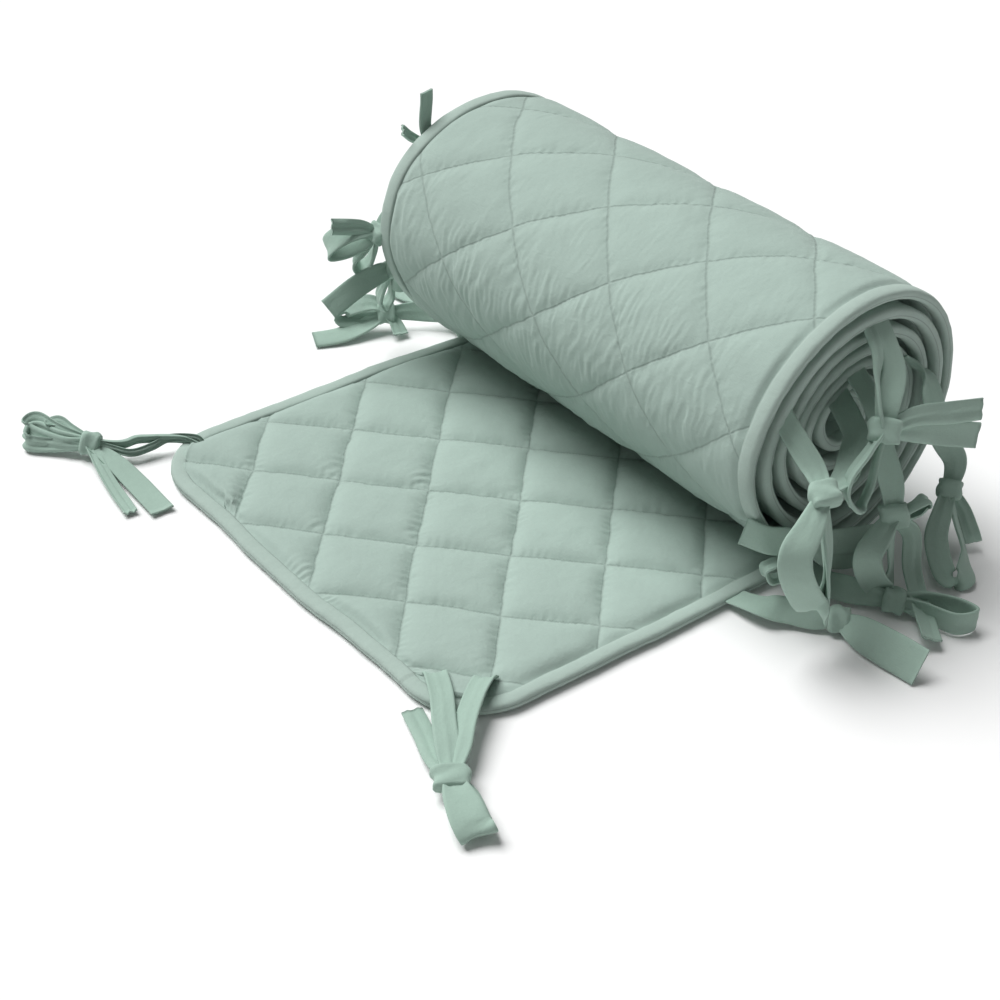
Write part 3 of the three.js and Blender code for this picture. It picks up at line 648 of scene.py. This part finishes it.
def stem(edge, s, via, knot, way, width, seed):
    """A strip from the bound edge to the knot: it starts inside the edge with its width along the
    edge, and turns on its way through the points between. Without an edge it starts at a point."""
    if s:
        s = np.array([float(s)])
        root_way = lay(s + 1, 0 * s, 0 * s)[0] - lay(s, 0 * s, 0 * s)[0]
        root_way /= np.linalg.norm(root_way)
        root_way = root_way if np.dot(root_way, way) >= 0 else -root_way
        start = [lay(s, edge * (PANEL_HALF - 3) + 0 * s, 0 * s)[0] / MILLIMETRE]
    else:
        start, root_way = [], np.asarray(way, float)
    points = np.array([*start, *via, knot], float)
    turned = ease(np.linspace(0, 1.2, len(points)))[:, None]
    widths = [width] * (len(points) - 1) + [GATHERED]
    return tape(points, root_way * (1 - turned) + np.asarray(way) * turned, widths, seed)


def loop(knot, via, way, width, seed):
    """A bow's loop: out of the knot, round through its points and back into the knot."""
    widths = [GATHERED, 0.85 * width] + [width] * (len(via) - 2) + [0.85 * width, GATHERED]
    return tape([knot, *via, knot], way, widths, seed)


def tail(knot, via, way, width, seed):
    """A loose end: gathered at the knot, then opening out flat to its cut end."""
    return tape([knot, *via], way, [GATHERED, 0.88 * width] + [width] * (len(via) - 1), seed)


# Each tie: its edge, the knot and its size, then its stems, loops and tails. A strip is the length
# along the panel where it starts (stems only), the points it runs through, the way or ways of its
# width, and its width.
UP = (0, 0, 1)
BROAD = (0.77, -0.64, 0)        # shows its whole width from the open end's side
THIN = (0.75, 0.35, -0.45)      # shows little more than its edge from there
FOLDED = [BROAD] * 4 + [(0.85, -0.3, -0.3)] + [THIN] * 3      # a broad front and a thin back
TIES = {
    "tie_near_1": (
        -1, (-269, -163, 8.5), (1.3, 0.85, 1.1),
        [(None, [(-230, -98, 5.5), (-233, -104, 10), (-241, -119, 11.6), (-251, -134, 11.4),
                 (-260, -149, 10)],
          (0.86, -0.5, 0), 12),
         (None, [(-211, -117, 5.5), (-217, -121, 10.5), (-229, -129, 12), (-243, -140, 11.6),
                 (-256, -152, 10)],
          (0.5, -0.8, 0.3), 12)],
        [([(-274, -175, 10.5), (-278, -186, 10.5), (-280, -193, 8.8), (-279, -196, 5.6),
           (-275, -186, 3.2),
           (-270, -174, 4)], (0.9, -0.43, 0), 18)],
        [([(-266, -146, 6), (-259, -129, 4), (-253, -111, 3)], (0.96, -0.29, 0), 11)]),
    "tie_near_2": (
        -1, (-41, -195, 9), 1.0,
        [(186, [(-65, -163, 9), (-57, -174, 9.3), (-50, -186, 9.3)], (0.25, 0.1, 0.95), 14)], [],
        [([(-41, -210, 10), (-39, -229, 10), (-37, -246, 9.6)], (0.5, 0, 0.85), 20)]),
    "tie_near_3": (
        -1, (-6, -202, 9), 1.0,
        [(236, [(-23, -170, 9), (-16, -187, 9.5)], (0.3, 0, 0.95), 14)],
        [([(7, -212, 9), (15, -226, 9), (17, -238, 8.6), (5, -234, 8.6), (0, -217, 8.6)], UP, 14)], []),
    "tie_near_4": (
        -1, (-36, -163, 38), 1.0,
        [(None, [(-69, -147, 50), (-62, -157, 47.5), (-50, -161, 43)], (0.2, 0.2, 0.95), 15)],
        [([(-48, -164, 33), (-60, -163, 34), (-64, -161, 31), (-60, -162, 24), (-48, -164, 25)],
          (0.45, 0.85, -0.2), 10)],
        [([(-24, -165, 33), (-11, -166, 28), (14, -167, 20)], (0.25, 0.2, 0.95), 15),
         ([(-24, -166, 26), (-10, -167, 18), (14, -168, 10)], (0.3, 0.2, 0.95), 14)]),
    "tie_near_5": (
        -1, (-8, -178, 104), 1.15,
        [(turn_length(532), [(11, -157, 138), (8, -166, 127), (-2, -173, 116)], BROAD, 13),
         (turn_length(537), [(3, -158, 138), (-3, -165, 127), (-9, -173, 116)], (0.6, 0.75, -0.2), 10)],
        [([(-22, -181, 98), (-38, -185, 92), (-41, -187, 83), (-31, -187, 72), (-22, -185, 80),
           (-15, -181, 92)],
          (0.6, 0.75, -0.3), 11)],
        [([(12, -181, 106), (34, -184, 101), (60, -187, 95)], (0.1, 0.3, 0.95), 12),
         ([(12, -182, 98), (35, -185, 89), (60, -188, 79)], (0.15, 0.25, 0.95), 14)]),
    "tie_near_6": (
        -1, (-58, -186, 91), 1.1,
        [(turn_length(600), [(-51, -160, 104), (-52, -173, 96)], (0.9, -0.4, 0.1), 12),
         (turn_length(2005), [(-5, -158, 92), (-15, -166, 88), (-35, -179, 88)], BROAD, 13)],
        [([(-73, -192, 80), (-84, -195, 70), (-82, -198, 54), (-69, -200, 34), (-60, -197, 44),
           (-57, -193, 64)],
          FOLDED, 17)],
        [([(-61, -191, 74), (-62, -199, 48), (-60, -200, 22)], (0.6, 0.7, -0.3), 13)]),
    "tie_near_7": (
        -1, (68, -173, 32), 0.95,
        [(turn_length(1208), [(58, -152, 96), (68, -160, 62), (77, -167, 44)], BROAD, 13)],
        [([(55, -180, 26), (44, -187, 16), (34, -204, 7.5), (42, -210, 6.5), (56, -199, 8),
           (63, -184, 20)],
          FOLDED, 13)],
        [([(73, -181, 20), (73, -188, 10), (71, -193, 6)], BROAD, 10)]),
    "tie_near_8": (
        -1, (6, -184, 48), 1.1,
        [(turn_length(1620), [(10, -157, 100), (8, -168, 80), (8, -177, 64)], BROAD, 13)],
        [([(-7, -187, 44), (-19, -190, 36), (-15, -192, 22), (-6, -194, 11.5), (1, -191, 19),
           (2, -188, 34)],
          FOLDED, 15),
         ([(16, -187, 52), (24, -188, 53), (27, -188, 49), (22, -187, 45), (12, -186, 46)],
          (0.5, 0.8, -0.2), 10)],
        [([(17, -189, 34), (13, -196, 17), (2, -213, 9), (-14, -234, 8)], (0.8, -0.45, -0.3), 12)]),
    "tie_far_1": (
        1, (-270, 179, 9), 1.0,
        [(None, [(-217, 143, 5.5), (-219, 147, 9.5), (-231, 157, 9), (-243, 158, 7), (-254, 160, 6.5),
                 (-261, 168, 7.5)],
          (0.3, 0.3, 0.9), 5),
         (None, [(-218, 142, 5), (-224, 151, 8.5), (-236, 159, 9.8), (-247, 165, 10.4), (-256, 168, 9)],
          (0.3, -0.3, 0.9), 5)],
        [([(-280, 198, 12), (-285, 214, 13), (-290, 217, 11), (-293, 213, 9), (-288, 200, 8),
           (-280, 188, 8)],
          (0.4, 0.4, 0.8), 10),
         ([(-282, 195, 10), (-288, 211, 9.5), (-295, 210, 7.5), (-296, 205, 6), (-286, 195, 6)],
          (0.4, 0.4, 0.8), 10),
         ([(-275, 194, 12), (-278, 203, 13.5), (-283, 204, 11), (-278, 191, 9)], (0.6, 0.3, 0.7), 10)],
        [([(-266, 158, 6), (-265, 134, 3.2), (-266, 105, 2.6)], (1, 0, 0), 14),
         ([(-274, 162, 6), (-278, 137, 3.2), (-281, 114, 2.6)], (1, 0.15, 0), 8)]),
    "tie_far_2": (
        1, (-47, 195, 12), 1.0,
        [(238, [(-12, 168, 10), (-28, 184, 12)], (0.4, 0.3, 0.85), 13)],
        [([(-52, 201, 18), (-60, 207, 17.5), (-69, 213, 13), (-70, 209, 9), (-57, 202, 8.5)],
          (0.3, 0.8, 0.5), 13)],
        [([(-60, 198, 7), (-78, 201, 4), (-95, 208, 2.8)], (0.25, 1, 0.15), 15),
         ([(-45, 188, 8), (-47, 179, 4)], (1, 0.2, 0), 11)]),
    "tie_far_3": (
        1, (-4, 186, 8.5), 1.0,
        [(242, [(-10, 168, 9), (-7, 177, 9)], (0.9, 0, 0.4), 13)],
        [([(6, 190, 9), (20, 200, 9), (28, 209, 9), (18, 206, 9), (2, 194, 9)], UP, 12)],
        [([(-7, 198, 6), (-11, 212, 3.5), (-14, 228, 2.6)], (1, 0, 0), 14)]),
    "tie_far_4": (
        1, (-61, 168, 61), 1.0,
        [(turn_length(296), [(-62, 163, 54)], UP, 13)],
        [([(-58, 173, 48), (-56, 177, 36), (-61, 178, 30), (-66, 176, 38), (-64, 172, 50)],
          (0.3, 0.9, 0.2), 11)],
        [([(-70, 168, 61), (-86, 170, 56), (-106, 173, 45)], (0.1, 0.55, 0.8), 14)]),
    "tie_far_5": (
        1, (-26, 169, 133), 1.0,
        [(turn_length(540), [(-8, 167, 141)], (0.6, 0.3, 0.7), 13)],
        [([(-22, 174, 120), (-18, 177, 106), (-22, 178, 101), (-27, 177, 107), (-28, 174, 122)],
          (0.3, 0.9, 0), 11)],
        [([(-33, 169, 146), (-32, 171, 158), (-31, 172, 169)], (0.9, 0.4, 0), 14),
         ([(-36, 171, 138), (-44, 172, 144), (-49, 172, 149)], (0.6, 0.7, 0.2), 8)]),
    "tie_far_6": (
        1, (-71, 169, 88), 1.0,
        [(turn_length(600), [(-60, 167, 100)], (0.6, 0.2, 0.7), 13)],
        [([(-79, 172, 92), (-90, 176, 91), (-99, 179, 86), (-99, 181, 80), (-88, 178, 80),
           (-77, 173, 84)],
          (0.3, 0.8, 0.5), 15),
         ([(-76, 174, 79), (-82, 179, 70), (-76, 181, 61), (-71, 178, 65), (-70, 173, 78)],
          (0.5, 0.75, 0.4), 13)],
        [([(-80, 171, 94), (-88, 173, 96), (-100, 175, 99)], (0.1, 0.4, 0.9), 10)]),
    "tie_far_7": (
        1, (46, 178, 62), 1.0,
        [(turn_length(1208), [(43, 166, 94), (45, 174, 78)], (0.7, 0.5, 0.4), 13)],
        [([(50, 182, 50), (58, 186, 36), (52, 188, 27), (45, 187, 36), (44, 182, 50)], (0.3, 0.9, 0.1),
          12)],
        [([(53, 180, 54), (60, 182, 46), (67, 183, 38)], (0.5, 0.8, 0.3), 13)]),
    "tie_far_8": (
        1, (4, 182, 72), 1.0,
        [(turn_length(1620), [(8, 170, 102), (6, 178, 86)], (0.9, 0.3, 0), 13)],
        [([(-4, 185, 62), (-20, 189, 50), (-14, 190, 42), (-6, 188, 48), (2, 185, 62)],
          (0.3, 0.9, 0.1), 12)],
        [([(8, 186, 60), (11, 188, 48), (14, 190, 36)], (0.6, 0.7, 0), 13)]),
}
tie_cloth = cloth_material("tie_cloth", (0.345, 0.475, 0.405, 1), 0.0002)[0]
for number, (tie_name, (edge, knot, size, stems, loops, tails)) in enumerate(TIES.items()):
    strips = [stem(edge, s, via, knot, way, width, number) for s, via, way, width in stems]
    strips += [loop(knot, via, way, width, number + 3 * k) for k, (via, way, width) in enumerate(loops)]
    strips += [tail(knot, via, way, width, number + 5 * k) for k, (via, way, width) in enumerate(tails)]
    strips.append(knot_of(knot, size, np.subtract(knot, stems[0][1][-1]), stems[0][2], number))
    counts = np.cumsum([0] + [len(strip[0]) for strip in strips])
    tie_points = np.concatenate([strip[0] for strip in strips])
    tie_points[:, 2] = np.maximum(tie_points[:, 2], TIE_LIFT)
    tie_quads = np.concatenate([strip[1] + first for strip, first in zip(strips, counts)])
    tie_map = np.concatenate([strip[2] for strip in strips])
    tie = sew(tie_name + "_bow", MILLIMETRE * tie_points, tie_quads, np.zeros((0, 3), int),
              {"cloth": MILLIMETRE * tie_map})
    tie.data.materials.append(tie_cloth)
    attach(tie, "root")
    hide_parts(tie_name)

# The studio: a pale floor without an edge in view, a broad soft light from high on the left and
# behind, an even white surround, and the camera at the height of someone looking down at it.
floor_points = 6.0 * np.array([[-1, -1, 0], [1, -1, 0], [1, 1, 0], [-1, 1, 0]])
floor = sew("floor", floor_points, np.array([[0, 1, 2, 3]]), np.zeros((0, 3), int), {})
floor_paint = bpy.data.materials.new("floor_paint")
floor_paint.use_nodes = True
floor_paint.node_tree.nodes["Principled BSDF"].inputs["Base Color"].default_value = (0.93, 0.93, 0.93, 1)
floor_paint.node_tree.nodes["Principled BSDF"].inputs["Roughness"].default_value = 0.9
floor.data.materials.append(floor_paint)

SUN_TOWARDS = np.array([-0.14, 0.52, 0.84])      # from the object to the light
sun_back = SUN_TOWARDS / np.linalg.norm(SUN_TOWARDS)
sun_right = np.cross((0, 1, 0), sun_back)
sun_right /= np.linalg.norm(sun_right)
sun_up = np.cross(sun_back, sun_right)
window = bpy.data.lights.new("window_light", "SUN")
window.energy, window.angle = 3.55, 0.75
window_light = bpy.data.objects.new("window_light", window)
window_light.matrix_world = Matrix([[sun_right[k], sun_up[k], sun_back[k],
                                     2 * sun_back[k]] for k in range(3)]
                                   + [[0, 0, 0, 1]])
bpy.context.scene.collection.objects.link(window_light)
surround = bpy.data.worlds.new("surround")
bpy.context.scene.world = surround
surround.use_nodes = True
surround.node_tree.nodes["Background"].inputs["Color"].default_value = (1, 1, 1, 1)
surround.node_tree.nodes["Background"].inputs["Strength"].default_value = 0.18
bpy.context.scene.view_settings.view_transform = "Standard"

CAMERA_YAW, CAMERA_PITCH, CAMERA_ROLL = 0.695, 0.629, -0.028
CAMERA_PLACE = (-0.6260, -0.6206, 0.5896)
ahead = np.array([np.sin(CAMERA_YAW) * np.cos(CAMERA_PITCH), np.cos(CAMERA_YAW) * np.cos(CAMERA_PITCH),
                  -np.sin(CAMERA_PITCH)])
level = np.array([np.cos(CAMERA_YAW), -np.sin(CAMERA_YAW), 0])
down = np.cross(ahead, level)
right = np.cos(CAMERA_ROLL) * level + np.sin(CAMERA_ROLL) * down
down = -np.sin(CAMERA_ROLL) * level + np.cos(CAMERA_ROLL) * down
lens = bpy.data.cameras.new("camera")
lens.sensor_width, lens.lens = 36, 63.32
camera = bpy.data.objects.new("camera", lens)
camera.matrix_world = Matrix([[right[k], -down[k], -ahead[k],
                               CAMERA_PLACE[k]] for k in range(3)] + [[0, 0, 0, 1]])
bpy.context.scene.collection.objects.link(camera)
bpy.context.scene.camera = camera
